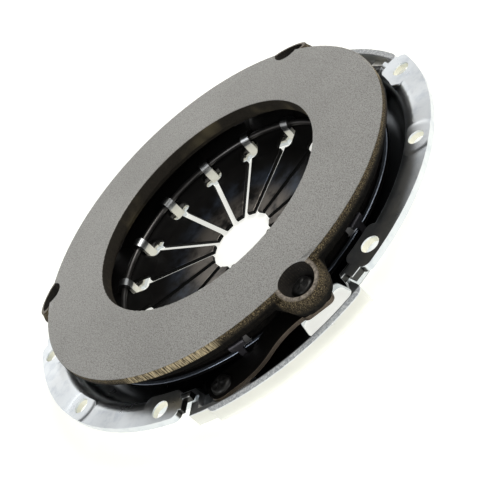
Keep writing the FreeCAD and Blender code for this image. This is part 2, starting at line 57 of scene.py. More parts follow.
# %% [markdown]
# ## The camera
# The picture was taken with a long lens from half a metre away, about thirty
# degrees above the friction face, and the camera was rolled by forty-five
# degrees, so that the clutch seems to stand on its rim. A look-at camera needs
# only the place, the point it looks at and that roll, which is easier to
# read and to adjust than a matrix of nine numbers.

# %% Camera
camera_place = Vector((0.1460, 0.4442, 0.2692))
camera_aim = Vector((0.0182, 0.0531, 0.0340))
camera_roll = math.radians(-45.06)
focal_length_mm = 76.93

camera_data = bpy.data.cameras.new("camera")
camera_data.lens = focal_length_mm
camera_data.sensor_width = 36.0
camera_data.clip_start = 0.02
camera_data.clip_end = 50.0
camera = bpy.data.objects.new("camera", camera_data)
collection.objects.link(camera)
toward = (camera_aim - camera_place).normalized()
camera.rotation_mode = "QUATERNION"
camera.rotation_quaternion = toward.to_track_quat("-Z", "Y") @ Matrix.Rotation(
    camera_roll, 4, "Z"
).to_quaternion()
camera.location = camera_place
bpy.context.scene.camera = camera
print("camera distance:", round((camera_aim - camera_place).length, 3))

# %% [markdown]
# ## Floor and light
# The part lies on a light table: a pale floor that glows evenly, so that every
# slot and hole shows clean white, as in the picture. A lamp below a glass floor
# would do the same, but one glowing sheet gives no hot spot. The studio round it
# is a white wall that ends a little over thirty degrees up, under a dark
# ceiling: flat steel that mirrors the wall is bright and steel that mirrors the
# ceiling is dark, and that border is what makes the flange shine on one side
# only. Three soft lamps do the rest, and the low one on the far side lights up
# the edges that face away from the other two.

# %% Floor, world and lamps
floor_z = -0.0006
floor_reach = 4.0
floor_glow = 0.74
wall_light = 1.0
ceiling_light = 0.014
wall_top = math.sin(math.radians(32.0))
ceiling_start = math.sin(math.radians(37.0))


def glowing_floor():
    """Square sheet under the part, white and evenly glowing."""
    mesh = bpy.data.meshes.new("floor")
    corners = [
        (floor_reach * side, floor_reach * depth, floor_z)
        for side, depth in ((-1, -1), (1, -1), (1, 1), (-1, 1))
    ]
    mesh.from_pydata(corners, [], [(0, 1, 2, 3)])
    floor = bpy.data.objects.new("floor", mesh)
    collection.objects.link(floor)
    material = bpy.data.materials.new("floor_white")
    material.use_nodes = True
    shader = material.node_tree.nodes["Principled BSDF"]
    shader.inputs["Base Color"].default_value = (0.5, 0.5, 0.49, 1)
    shader.inputs["Roughness"].default_value = 0.9
    shader.inputs["Emission Color"].default_value = (0.985, 0.99, 0.93, 1)
    shader.inputs["Emission Strength"].default_value = floor_glow
    mesh.materials.append(material)


def soft_lamp(name, place, width, height, power, colour):
    """Rectangular lamp that faces the middle of the part."""
    data = bpy.data.lights.new(name, "AREA")
    data.shape = "RECTANGLE"
    data.size = width
    data.size_y = height
    data.energy = power
    data.color = colour
    lamp = bpy.data.objects.new(name, data)
    collection.objects.link(lamp)
    lamp.location = place
    lamp.rotation_mode = "QUATERNION"
    lamp.rotation_quaternion = (Vector((0, 0, 0.02)) - Vector(place)).to_track_quat("-Z", "Y")
    return lamp


glowing_floor()
soft_lamp("key_lamp", (-0.9, 0.5, 1.3), 0.9, 0.9, 16.0, (1.0, 0.99, 0.97))
soft_lamp("fill_lamp", (1.2, 0.4, 0.9), 0.7, 0.7, 6.0, (0.93, 0.96, 1.0))
soft_lamp("far_lamp", (-0.30, -0.94, 0.42), 0.9, 0.4, 0.6, (1.0, 0.99, 0.96))

world = bpy.data.worlds.new("studio")
bpy.context.scene.world = world
world.use_nodes = True
world_nodes = world.node_tree.nodes
direction = world_nodes.new("ShaderNodeTexCoord")
height = world_nodes.new("ShaderNodeSeparateXYZ")
ramp = world_nodes.new("ShaderNodeMapRange")
ramp.interpolation_type = "SMOOTHSTEP"
for socket, value in {
    "From Min": wall_top, "From Max": ceiling_start, "To Min": wall_light, "To Max": ceiling_light
}.items():
    ramp.inputs[socket].default_value = value
world.node_tree.links.new(direction.outputs["Generated"], height.inputs["Vector"])
world.node_tree.links.new(height.outputs["Z"], ramp.inputs["Value"])
world.node_tree.links.new(ramp.outputs["Result"], world_nodes["Background"].inputs["Color"])
bpy.context.scene.view_settings.view_transform = "Standard"

# %% [markdown]
# ## Writing shader maths
# A finish is a small calculation on the place of a point: its height, its
# distance from the axis, some noise. A class that wraps one socket and gives it
# +, -, * and ** lets that calculation be read as a formula. One method makes
# every other node, from its type, its settings and what goes into its sockets.

# %% Shader maths
PER_MM = 1000.0
third = 120.0


class Value:
    """A shader socket that can be calculated with."""

    def __init__(self, finish, socket):
        self.finish = finish
        self.socket = socket

    def __add__(self, other):
        return self.finish.math("ADD", self, other)

    def __sub__(self, other):
        return self.finish.math("SUBTRACT", self, other)

    def __rsub__(self, other):
        return self.finish.math("SUBTRACT", other, self)

    def __mul__(self, other):
        return self.finish.math("MULTIPLY", self, other)

    def __pow__(self, other):
        return self.finish.math("POWER", self, other)

    __radd__ = __add__
    __rmul__ = __mul__

    def rises(self, low, high):
        """0 below low, 1 above high, smooth between."""
        return self.finish.node(
            "MapRange", {"interpolation_type": "SMOOTHSTEP"},
            {"Value": self, "From Min": low, "From Max": high}
        )

    def falls(self, low, high):
        """1 below low, 0 above high, smooth between."""
        return 1.0 - self.rises(low, high)


class Finish:
    """A material under construction, with the place of a point in millimetres."""

    def __init__(self, name):
        self.material = bpy.data.materials.new(name)
        self.material.use_nodes = True
        self.tree = self.material.node_tree
        self.shader = self.tree.nodes["Principled BSDF"]
        self.place = self.node("TexCoord", {}, {}, "Object")
        self.x, self.y, self.z = [
            self.node("SeparateXYZ", {}, {"Vector": self.place}, axis) * PER_MM for axis in "XYZ"
        ]
        self.radius = (self.x * self.x + self.y * self.y) ** 0.5

    def node(self, kind, settings, sockets, output=0):
        """Any node: its type, its settings, what goes into its sockets."""
        made = self.tree.nodes.new("ShaderNode" + kind)
        for key, value in settings.items():
            setattr(made, key, value)
        for key, value in sockets.items():
            self.feed(made.inputs[key], value)
        return Value(self, made.outputs[output])

    def feed(self, socket, value):
        """Link a calculated value to a socket, or set a plain one on it."""
        if isinstance(value, Value):
            self.tree.links.new(value.socket, socket)
        else:
            socket.default_value = value

    def math(self, operation, *values):
        """One Math node."""
        return self.node("Math", {"operation": operation}, dict(enumerate(values)))

    def least(self, first, second):
        """The smaller of two values."""
        return self.math("MINIMUM", first, second)

    def away_from(self, centre):
        """Distance in millimetres from an upright line through a point."""
        along, across = self.x - centre[0], self.y - centre[1]
        return (along * along + across * across) ** 0.5

    def sector_angle(self):
        """Degrees round the axis, counted anew in each third of the turn."""
        angle = self.math("ARCTAN2", self.y, self.x) * (180 / math.pi) + 360.0
        return self.math("MODULO", angle, third)

    def noise(self, size_mm, detail=2.0, roughness=0.5, stretch=None):
        """Noise with features of about this size, from 0 to 1."""
        place = self.place
        if stretch is not None:
            place = self.node("VectorMath", {"operation": "MULTIPLY"}, {0: self.place, 1: stretch})
        return self.node("TexNoise", {}, {
            "Vector": place, "Scale": PER_MM / size_mm, "Detail": detail, "Roughness": roughness
        })

    def mix(self, factor, first, second):
        """Colour from first to second as factor goes from 0 to 1."""
        return self.node("Mix", {"data_type": "RGBA"}, {0: factor, 6: first, 7: second}, 2)

    def blend(self, factor, first, second):
        """Number from first to second as factor goes from 0 to 1."""
        return self.node("Mix", {"data_type": "FLOAT"}, {0: factor, 2: first, 3: second}, 0)

    def bump(self, height_mm):
        """Relief: height in millimetres above the surface."""
        bump = self.node("Bump", {}, {"Height": height_mm, "Distance": 1 / PER_MM, "Strength": 1.0})
        self.feed(self.shader.inputs["Normal"], bump)

    def use(self, **sockets):
        """Feed the surface shader; underscores stand for spaces."""
        for key, value in sockets.items():
            self.feed(self.shader.inputs[key.replace("_", " ")], value)
        return self.material


def paint(red, green, blue):
    """Linear colour from the 0 to 255 values of a picture."""
    shares = np.array([red, green, blue]) / 255
    linear = np.where(shares <= 0.04045, shares / 12.92, ((shares + 0.055) / 1.055) ** 2.4)
    return (*linear.tolist(), 1.0)


print("shader maths ready")

# %% [markdown]
# ## Surfaces from numbers
# Most new pieces are bars: a cross-section with rounded corners, carried along
# a line while its width changes. The cross-section is one closed loop of points,
# the same count in each row, so the skin is a plain grid of quads with two caps.
# A modifier stack on a strip would give the same body, but here the edge
# rounding can change along the way, which a diaphragm finger needs.

# %% Bars and turned pieces
MM = 0.001
ring_steps = 360


def grid_quads(rows, columns):
    """Quads of a grid whose columns close into a loop, as rows of four indices."""
    row, column = np.meshgrid(np.arange(rows - 1), np.arange(columns), indexing="ij")
    here = row * columns + column
    beside = row * columns + (column + 1) % columns
    return np.stack([here, beside, beside + columns, here + columns], axis=-1).reshape(-1, 4)


def new_piece(name, points_mm, faces, material, sharp_degrees=38.0):
    """Object from points in millimetres, shaded smooth except at sharp edges."""
    mesh = bpy.data.meshes.new(name)
    mesh.from_pydata((np.asarray(points_mm) * MM).tolist(), [], faces)
    shape = bmesh.new()
    shape.from_mesh(mesh)
    bmesh.ops.remove_doubles(shape, verts=shape.verts, dist=1e-7)
    bmesh.ops.recalc_face_normals(shape, faces=shape.faces)
    shape.to_mesh(mesh)
    shape.free()
    mesh.shade_smooth()
    mesh.set_sharp_from_angle(angle=math.radians(sharp_degrees))
    mesh.materials.append(material)
    piece = bpy.data.objects.new(name, mesh)
    collection.objects.link(piece)
    return piece


def rounded_loop(half_width, half_height, corner, across=8, arc=3):
    """Side and height offsets of rounded rectangles, one row per entry.

    Each corner is a quarter circle: side = w - c + c cos t, height = h - c + c sin t,
    and the long sides have extra points between the corners."""
    w, h, c = [np.asarray(v, float)[:, None] for v in (half_width, half_height, corner)]
    c = np.minimum(c, np.minimum(w, h))
    turn = np.linspace(0, math.pi / 2, arc + 1)[None, :]
    along = np.linspace(1, -1, across + 1)[None, 1:-1]
    right_up = (w - c + c * np.cos(turn), h - c + c * np.sin(turn))
    top = ((w - c) * along, h + 0 * along * w)
    left_up = (-right_up[0][:, ::-1], right_up[1][:, ::-1])
    sides = [right_up[0], top[0], left_up[0], -right_up[0], -top[0], -left_up[0]]
    heights = [right_up[1], top[1], left_up[1], -right_up[1], -top[1], -left_up[1]]
    return np.concatenate(sides, axis=1), np.concatenate(heights, axis=1)


def skin(name, points_mm, material):
    """Closed skin over rows of loops, with a cap at each end."""
    rows, columns = points_mm.shape[:2]
    faces = grid_quads(rows, columns).tolist()
    faces.append(list(range(columns)))
    faces.append(list(range((rows - 1) * columns, rows * columns)))
    return new_piece(name, points_mm.reshape(-1, 3), faces, material)


def turned_ring(name, radii, heights, material):
    """Closed profile carried once round the axis: x = r cos a, y = r sin a, z = h."""
    angle = np.linspace(0, 2 * math.pi, ring_steps + 1)[:, None]
    points = np.stack(
        [radii * np.cos(angle), radii * np.sin(angle), heights + 0 * angle], axis=-1
    )
    faces = grid_quads(ring_steps + 1, len(radii)).tolist()
    return new_piece(name, points.reshape(-1, 3), faces, material)


def cut_edges(piece, material):
    """Second material on the faces that stand more upright than 53 degrees."""
    piece.data.materials.append(material)
    for polygon in piece.data.polygons:
        polygon.material_index = int(abs(polygon.normal.z) < 0.6)


def smooth_copy(name, node, material, press=None):
    """Merged, smooth-shaded copy of a CAD node, pressed by a function if one is given."""
    mesh = nodes[node].data.copy()
    mesh.name = name
    shape = bmesh.new()
    shape.from_mesh(mesh)
    bmesh.ops.remove_doubles(shape, verts=shape.verts, dist=2e-6)
    if press is not None:
        press(shape)
    shape.to_mesh(mesh)
    shape.free()
    mesh.shade_smooth()
    mesh.set_sharp_from_angle(angle=math.radians(14.0))
    mesh.materials.clear()
    mesh.materials.append(material)
    piece = bpy.data.objects.new(name, mesh)
    collection.objects.link(piece)
    weights = piece.modifiers.new("even_normals", "WEIGHTED_NORMAL")
    weights.keep_sharp = True
    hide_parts(node)
    return piece


def polar(radius, degrees, height=0.0):
    """Point in millimetres at a radius and an angle."""
    turn = math.radians(degrees)
    return np.array([radius * math.cos(turn), radius * math.sin(turn), height])


print("bar and ring tools ready")

# %% [markdown]
# ## Cast iron
# The plate is one casting with two looks. Where the disc rubs, it is ground to
# an even grey. Everywhere else the sand left a coarse dark brown skin with
# bright grains in it. Height and radius tell the two apart, so one material
# serves the whole solid and the border lies where the grinding stopped.

# %% Cast iron
# Lengths in millimetres, angles in degrees. A pair says where a mask begins
# and where it is full.
face_z_mm = 34.0
lug_angle = 74.0
lug_radius = 109.75
lug_top_mm = 10.5
pocket_mm = 8.3
pocket_floor_mm = 27.0
land_foot_z = (27.4, 27.8)
bore_edge = (71.8, 72.2)
boss_edge = (12.6, 14.0)
boss_grain_z = (22.0, 29.0)
rim_grain_z = (29.6, 33.0)
turned_start = (20.0, 25.0)
turned_end = (49.0, 52.0)
turned_foot_z = (29.2, 30.2)
turned_edge = (107.0, 107.6)


def cast_iron():
    """Ground on the friction face, rough sand skin elsewhere."""
    f = Finish("cast_iron")
    lug = None
    for i in range(3):
        away = f.away_from(polar(lug_radius, lug_angle + i * third))
        lug = away if lug is None else f.least(lug, away)
    ground = f.z.rises(face_z_mm - 0.25, face_z_mm - 0.05)
    land = f.z.rises(*land_foot_z) * lug.rises(pocket_mm + 0.02, pocket_mm + 0.12)
    land = land * lug.falls(lug_top_mm - 0.2, lug_top_mm - 0.04)
    pocket = lug.falls(pocket_mm - 0.02, pocket_mm + 0.04) * (1.0 - ground)
    bore = f.radius.falls(*bore_edge) * (1.0 - ground)
    upper = f.blend(lug.falls(*boss_edge), f.z.rises(*rim_grain_z), f.z.rises(*boss_grain_z))
    sector = f.sector_angle()
    turned_band = sector.rises(*turned_start) * sector.falls(*turned_end)
    turned_band = turned_band * f.z.rises(*turned_foot_z) * f.radius.rises(*turned_edge)
    grain = f.noise(0.62, 3.0, 0.75)
    coarse = f.noise(1.4, 4.0, 0.7)
    cloud = f.noise(60.0, 2.0)
    spark = f.noise(0.5, 2.0, 0.75).rises(0.50, 0.66)
    axial = f.noise(0.6, 2.0, 0.7, (1.0, 1.0, 0.08))
    face = f.mix(cloud.rises(0.3, 0.7), paint(179, 178, 174), paint(193, 192, 188))
    face = f.mix(grain.rises(0.36, 0.68), face, paint(132, 130, 125))
    dark_skin = f.mix(coarse.rises(0.35, 0.7), paint(12, 11, 10), paint(30, 27, 23))
    rim_skin = f.mix(coarse.rises(0.3, 0.65), paint(16, 15, 12), paint(62, 54, 42))
    rim_skin = f.mix(spark * 0.8, rim_skin, paint(150, 134, 102))
    skin_colour = f.mix(upper, dark_skin, rim_skin)
    bore_colour = f.mix(coarse, paint(28, 26, 23), paint(54, 49, 41))
    bore_colour = f.mix(f.noise(24.0, 2.0).rises(0.5, 0.75) * 0.5, bore_colour, paint(118, 108, 82))
    land_colour = f.mix(coarse.rises(0.3, 0.7), paint(84, 77, 69), paint(156, 147, 135))
    land_colour = f.mix(lug.rises(pocket_mm + 0.9, lug_top_mm) * 0.75, land_colour, rim_skin)
    golden = f.mix(axial.rises(0.38, 0.62), paint(56, 47, 32), paint(184, 169, 137))
    colour = f.mix(bore, skin_colour, bore_colour)
    colour = f.mix(turned_band, colour, golden)
    colour = f.mix(land, colour, land_colour)
    colour = f.mix(pocket, colour, f.mix(coarse, paint(20, 19, 18), paint(48, 45, 42)))
    colour = f.mix(ground, colour, face)
    rough = f.blend(ground, f.blend(land, 0.74, 0.6), 0.5)
    relief = f.blend(ground, coarse * 0.30 * (1.0 - 0.7 * land) * (1.0 - 0.8 * pocket), grain * 0.05)
    f.bump(relief + axial * turned_band * 0.3)
    metal = f.blend(ground, 0.1, 0.8)
    return f.use(Base_Color=colour, Roughness=rough, Metallic=metal, Specular_IOR_Level=0.12)


iron = cast_iron()
print(iron.name, len(iron.node_tree.nodes), "nodes")

# %% [markdown]
# ## Zinc on pressed steel
# The cover is bright zinc over a smooth pressing: a clear metal whose
# reflections are soft and a little blue, with faint clouds where the bath
# dried. Along the sheared rim of the bulges the steel is torn, so a rough
# speckled grey takes over there, with a painted shadow line along its inner
# edge. The outer walls, the roots of the tabs and the walls of the holes are
# painted cream, a painted reflection of the glowing floor that grows whiter
# towards the bottom of the outer walls. The hooks of the tabs, the inside of the
# dish and the sheared ends of the sectors get painted shade. One place
# calculation tells all of these apart.

# %% Zinc
# Pairs as above: where a mask begins and where it is full.
bulge_rim_z_mm = 14.0
bulge_edge = (114.0, 115.0)
rim_shadow_edge = (120.9, 121.6)
tab_edge = (76.5, 77.5)
tab_fold_z = (9.4, 10.4)
tab_foot_z = (1.9, 2.4)
bulge_start = (33.0, 34.0)
bulge_end = (85.0, 86.0)
cut_inner = (112.5, 112.9)
cut_outer = (123.2, 124.0)
cut_foot_z = (14.2, 14.6)
cut_top_z = (19.4, 19.8)
hole_inner = (113.3, 113.5)
hole_top_z = (19.0, 19.3)
dish_lean = 0.145
dish_outer = (106.9, 107.6)
dish_inner = (78.0, 80.0)
dish_foot_z = (2.6, 3.2)
dish_top_z = (14.0, 19.0)
outer_edge = (115.0, 117.0)
outer_top_z = (13.0, 13.95)


def zinc_plate():
    """Bright zinc with faint clouds; torn grey steel on the sheared rim; painted floor reflections
    and painted shade.
    """
    f = Finish("zinc_plated_steel")
    cloud = f.noise(22.0, 3.0, 0.6)
    streak = f.noise(6.0, 3.0, 0.6)
    speck = f.noise(0.9, 3.0, 0.7)
    wave = f.noise(30.0, 1.0, 0.3)
    torn = f.radius.rises(*bulge_edge) * f.z.rises(bulge_rim_z_mm - 0.15, bulge_rim_z_mm - 0.05)
    torn = torn * f.z.falls(bulge_rim_z_mm + 0.05, bulge_rim_z_mm + 0.15)
    tab_ring = f.radius.falls(*tab_edge)
    # painted shade: the hooks of the tabs are a darker grey than the rest of the zinc
    tab_hook_shade = tab_ring * f.z.rises(*tab_fold_z)
    # painted reflection: the roots of the tabs are cream, standing in for the glowing floor they
    # face
    riser_floor_reflection = tab_ring * f.z.falls(*tab_fold_z) * f.z.rises(*tab_foot_z)
    sector = f.sector_angle()
    bulge = sector.rises(*bulge_start) * sector.falls(*bulge_end)
    cut_wall = f.radius.rises(*cut_inner) * f.radius.falls(*cut_outer)
    cut_wall = cut_wall * f.z.rises(*cut_foot_z) * f.z.falls(*cut_top_z)
    # painted shade: the sheared ends of the bulge sectors are dark grey
    notch_shade = cut_wall * bulge
    # painted reflection: the walls of the holes are cream, standing in for the glowing floor seen
    # through them
    hole = cut_wall * f.radius.rises(*hole_inner) * f.z.falls(*hole_top_z) * (1.0 - bulge)
    # painted shade: the inside of the dish is a darker grey
    dish_shade = (f.radius - dish_lean * f.z).falls(*dish_outer) * f.radius.rises(*dish_inner)
    dish_shade = dish_shade * f.z.rises(*dish_foot_z) * f.z.falls(*dish_top_z)
    outside = f.radius.rises(*outer_edge) * f.z.falls(*outer_top_z)
    # painted reflection of the glowing floor: the outer walls are cream, whiter towards the bottom
    outer_wall_painted_light = f.mix(cloud, paint(208, 208, 200), paint(232, 232, 224))
    outer_wall_painted_light = f.mix(f.z.falls(2.0, 12.0) * 0.8, outer_wall_painted_light, paint(250, 250, 244))
    torn_and_edge_shadow = f.mix(speck.rises(0.4, 0.62), paint(168, 172, 176), paint(222, 224, 224))
    # painted shadow: a dark line along the inner edge of the torn rim
    torn_and_edge_shadow = f.mix(f.radius.rises(*rim_shadow_edge), paint(84, 85, 84), torn_and_edge_shadow)
    colour = f.mix(cloud, paint(210, 217, 223), paint(242, 244, 244))
    colour = f.mix(streak.rises(0.45, 0.75) * 0.4, colour, paint(176, 185, 196))
    for mask, shade in (
        (dish_shade, paint(112, 116, 120)), (tab_hook_shade, paint(168, 170, 170)), (riser_floor_reflection, paint(236, 234, 222)),
        (notch_shade, paint(72, 72, 70)), (outside, outer_wall_painted_light), (torn, torn_and_edge_shadow),
        (hole, paint(240, 238, 222)),
    ):
        colour = f.mix(mask, colour, shade)
    rough = f.blend(torn, 0.24 + cloud * 0.10, 0.55)
    metal = f.blend(riser_floor_reflection + hole, f.blend(torn, 1.0 - 0.65 * outside, 0.2), 0.3)
    f.bump(wave * 0.8 + streak * 0.006 + speck * torn * 0.12)
    return f.use(Base_Color=colour, Roughness=rough, Metallic=metal)


zinc = zinc_plate()
print(zinc.name, len(zinc.node_tree.nodes), "nodes")

# %% [markdown]
# ## Spring steel, wire, straps and rivets
# The diaphragm comes out of its oil bath almost black, with a blue sheen on the
# fingers and a worn grey-brown zone where the release bearing rubs. Its outer rim
# gets a painted highlight. The wires, straps, clips and rivets are plain steels
# that differ in shade and gloss, so one function makes all of them from two
# shades and a roughness. The same function makes the near-black walls of the
# finger slots, which are painted shade.

# %% Dark steels
def diaphragm_steel():
    """Black oiled steel, bluish half way in, worn near the finger tips, with a painted highlight on
    the outer rim.
    """
    f = Finish("spring_steel")
    cloud = f.noise(9.0, 4.0, 0.6)
    fine = f.noise(0.8, 2.0, 0.6)
    blue = f.radius.rises(30.0, 38.0) * f.radius.falls(40.0, 52.0) * cloud.rises(0.35, 0.7)
    worn = f.radius.falls(26.0, 40.0) * cloud.rises(0.3, 0.6)
    # painted highlight: the outer rim of the spring is a light bluish grey
    rim = f.radius.rises(95.5, 96.5)
    colour = f.mix(cloud, paint(26, 26, 27), paint(50, 48, 46))
    colour = f.mix(blue * 0.7, colour, paint(84, 94, 110))
    colour = f.mix(worn * 0.85, colour, paint(142, 135, 127))
    colour = f.mix(rim, colour, paint(114, 121, 132))
    rough = f.blend(rim, 0.30 + cloud * 0.14, 0.18)
    f.bump(fine * 0.02 + cloud * 0.03)
    return f.use(Base_Color=colour, Roughness=rough, Metallic=0.7)


def plain_steel(name, dark, light, roughness):
    """Steel between two shades with a fine uneven gloss."""
    f = Finish(name)
    cloud = f.noise(6.0, 3.0, 0.6)
    grain = f.noise(1.2, 2.0, 0.6)
    f.bump(grain * 0.02)
    colour = f.mix(cloud, dark, light)
    return f.use(Base_Color=colour, Roughness=roughness + grain * 0.15, Metallic=0.85)


spring_steel = diaphragm_steel()
ring_wire = plain_steel("ring_wire", paint(60, 58, 57), paint(92, 90, 88), 0.24)
strap_steel = plain_steel("strap_steel", paint(18, 17, 16), paint(34, 31, 28), 0.40)
strap_edge = plain_steel("strap_edge", paint(84, 75, 66), paint(124, 112, 100), 0.34)
clip_steel = plain_steel("clip_steel", paint(66, 64, 68), paint(92, 90, 94), 0.42)
rivet_steel = plain_steel("rivet_steel", paint(36, 36, 36), paint(66, 65, 63), 0.36)
# painted shade: the walls of the finger slots are near black
slot_wall_shade = plain_steel("slot_wall_shade", paint(7, 7, 7), paint(15, 14, 13), 0.55)
print("dark steels ready")

# %% [markdown]
# ## Cover and pressure plate
# These two have dozens of fillets, holes and cast or pressed corners that the
# CAD solid already holds exactly. Their meshes are loose triangles, so a merged
# copy with smooth shading stands in for each. Rebuilding them as grids would
# only lose the fillets. One thing is added: the die leaves a shallow disc round
# each dowel hole. The flange has too few points to carry it, so it gets a local
# grid of cuts first.

# %% Cover and pressure plate
dowel_circle_mm = 118.0
disc_height_mm = 0.24
disc_top_mm = 8.6
disc_foot_mm = 11.2
disc_reach_mm = 11.6
disc_cells = 28
wall_foot_mm = 109.0
wall_clear_mm = 111.5


def smooth_step(value, low, high):
    """0 below low, 1 above high, t^2 (3 - 2 t) between."""
    t = min(max((value - low) / (high - low), 0.0), 1.0)
    return t * t * (3 - 2 * t)


def cut_faces(shape, faces, place, across):
    """Cut a list of faces by one plane and return the pieces."""
    around = {part for face in faces for part in (*face.edges, *face.verts)}
    cut = bmesh.ops.bisect_plane(
        shape, geom=[*faces, *around], dist=1e-8, plane_co=place, plane_no=across
    )
    return [part for part in cut["geom"] if isinstance(part, bmesh.types.BMFace)]


def press_discs(shape):
    """Disc round each dowel hole: z rises by h (1 - s(d)) s(r), s a smooth step."""
    reach = disc_reach_mm * MM
    axes = (Vector((1, 0, 0)), Vector((0, 1, 0)))
    for turn in range(3):
        centre = Vector(polar(dowel_circle_mm, turn * third) * MM)
        faces = [
            face for face in shape.faces
            if face.normal.z > 0.1 and all(
                min(v.co[i] for v in face.verts) < centre[i] + reach
                and max(v.co[i] for v in face.verts) > centre[i] - reach for i in (0, 1)
            )
        ]
        for axis in axes:
            for side in (-reach, reach):
                faces = cut_faces(shape, faces, centre + side * axis, axis)
        faces = [
            face for face in faces
            if max(abs(face.calc_center_median()[i] - centre[i]) for i in (0, 1)) < reach
        ]
        for axis in axes:
            for side in np.linspace(-reach, reach, disc_cells + 1)[1:-1]:
                faces = cut_faces(shape, faces, centre + float(side) * axis, axis)
        for vert in {v for face in faces for v in face.verts}:
            away = (vert.co - centre).xy.length / MM
            radius = vert.co.xy.length / MM
            raised = 1 - smooth_step(away, disc_top_mm, disc_foot_mm)
            raised *= smooth_step(radius, wall_foot_mm, wall_clear_mm)
            vert.co.z += disc_height_mm * MM * raised
    shape.normal_update()


cover = smooth_copy("cover_pressing", "cover", zinc, press=press_discs)
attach(cover, "cover_body")
plate = smooth_copy("plate_casting", "pressure_plate", iron)
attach(plate, "plate_body")
print("cover:", len(cover.data.vertices), "plate:", len(plate.data.vertices))

# %% [markdown]
# ## Diaphragm spring
# The spring is a cone with a closed rim. Slots cut it into fifteen fingers, and
# a window with round corners widens each slot where a tab of the cover comes
# through. Fifteen sectors are made, one per finger.

# %% Diaphragm spring
fingers = 15
pivot_mm = 73.4
spring_out_mm = 98.0
spring_tip_mm = 18.5
bend_mm = 58.0
window_out_mm = 72.3
window_in_mm = 59.5
window_half_mm = 5.75
window_corner_mm = 3.6
slot_half_mm = 1.6
tip_round_mm = 0.6
rim_round_mm = 0.8
slot_round_mm = 0.5
spring_sheet_mm = 2.6
spring_front_pivot_mm = 9.732
cone_angle = math.radians(11.0)
finger_angle = math.radians(5.6)
spring_depth_mm = spring_sheet_mm / math.cos(cone_angle)
round_turn = np.linspace(0, math.pi / 2, 5)


def spring_middle(radius):
    """Height of the sheet's middle: a cone, flatter inside the bend."""
    outer = spring_front_pivot_mm + (np.maximum(radius, bend_mm) - pivot_mm) * math.tan(cone_angle)
    return outer - np.maximum(bend_mm - radius, 0) * math.tan(finger_angle) - spring_depth_mm / 2


def gap_half_width(radius):
    """Half the gap between neighbours: slot, window with round corners, or none."""
    corner = window_corner_mm
    depth = np.minimum(radius - window_in_mm, window_out_mm - radius)
    inset = np.clip(corner - depth, 0, corner)
    window = window_half_mm - corner + np.sqrt(np.maximum(corner**2 - inset**2, 0))
    inside = (radius >= window_in_mm) & (radius <= window_out_mm)
    return np.where(inside, window, np.where(radius < window_in_mm, slot_half_mm, 0.0))


def finger_rows():
    """Radii of the rows, close together at the rounded ends, bend and window corners."""
    tip = spring_tip_mm + tip_round_mm * (1 - np.cos(round_turn))
    rim = spring_out_mm - rim_round_mm * (1 - np.cos(round_turn[::-1]))
    corner = window_corner_mm * (1 - np.cos(round_turn))
    return np.concatenate([
        tip, np.linspace(spring_tip_mm + 2, bend_mm - 1, 20),
        [bend_mm - 0.4, bend_mm, bend_mm + 0.4, window_in_mm - 0.001],
        window_in_mm + corner, window_out_mm - corner[::-1], [window_out_mm + 0.001],
        np.linspace(73.0, 96.0, 14), rim
    ])


def finger_points(index):
    """Loops of one sector: angle = middle + side / radius, height = cone + offset."""
    radius = finger_rows()
    half_angle = math.pi / fingers - np.arcsin(gap_half_width(radius) / radius)
    thick = np.full(len(radius), spring_depth_mm / 2)
    thick[:5] -= tip_round_mm * (1 - np.sin(round_turn))
    thick[-5:] -= rim_round_mm * (1 - np.sin(round_turn[::-1]))
    corner = np.where(radius <= window_out_mm, slot_round_mm, 0.01)
    corner = np.minimum(corner, thick * 0.9)
    side, up = rounded_loop(half_angle * radius, thick, corner, across=10)
    angle = side / radius[:, None] + (2 * index + 1) * math.pi / fingers
    r = radius[:, None] + 0 * side
    return np.stack([r * np.cos(angle), r * np.sin(angle), spring_middle(r) + up], axis=-1)


for index in range(fingers):
    finger = skin(f"diaphragm_finger_{index + 1}", finger_points(index), spring_steel)
    # the slot walls get the near-black painted shade
    cut_edges(finger, slot_wall_shade)
    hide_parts("diaphragm_spring")
    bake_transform(finger)
print("fingers:", fingers, "points each:", len(finger.data.vertices))

# %% [markdown]
# ## Pivot rings
# Two drawn wires, a circle of 3.5 mm carried round a circle of 147 mm. They roll
# between the cover, the spring and the folded tabs, so both stay with the cover.

# %% Pivot rings
wire_mm = 1.75


def wire_ring(name, node, height):
    """Torus: radius = R + w cos t, height = h + w sin t."""
    turn = np.linspace(0, 2 * math.pi, 25)[:-1]
    radii = pivot_mm + wire_mm * np.cos(turn)
    ring = turned_ring(name, radii, height + wire_mm * np.sin(turn), ring_wire)
    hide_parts(node)
    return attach(ring, "cover_body")


front_ring = wire_ring("front_wire", "front_pivot_ring", 11.54)
rear_ring = wire_ring("rear_wire", "rear_pivot_ring", 5.275)
print("rings:", front_ring.name, rear_ring.name)

# %% [markdown]
# ## Drive straps
# Each pack has three leaves, one on another. A leaf is flat under both rivets
# and bends in an S of two equal arcs between them, as a thin strip does when its
# ends stay level. The bar tool carries the section along that S. At the lug the
# leaf widens to a square pad, at the cover it ends in a half circle, and its cut
# edges are bright where its faces are black.

# %% Drive straps
strap_half_mm = 7.25
pad_half_mm = 9.25
pad_reach_mm = 8.0
pad_corner_mm = 3.0
leaf_mm = 0.7
strap_flat_mm = 8.5
cover_rivet_angle = 44.0
strap_span_mm = 2 * lug_radius * math.sin(math.radians(lug_angle - cover_rivet_angle) / 2)
strap_drop_mm = 7.82
leaf_step_mm = 0.72
leaf_top_mm = 19.98
leaf_round_mm = 0.12
leaf_end_mm = 0.2


def strap_height(s):
    """Drop along the strap: two arcs of one radius that meet half way."""
    run = strap_span_mm - 2 * strap_flat_mm
    bend = (run**2 + strap_drop_mm**2) / (4 * strap_drop_mm)
    t = np.clip(s - strap_flat_mm, 0, run)
    first = -(bend - np.sqrt(bend**2 - np.minimum(t, run / 2) ** 2))
    back = np.clip(run - t, 0, run / 2)
    second = -strap_drop_mm + (bend - np.sqrt(bend**2 - back**2))
    return np.where(t <= run / 2, first, second)


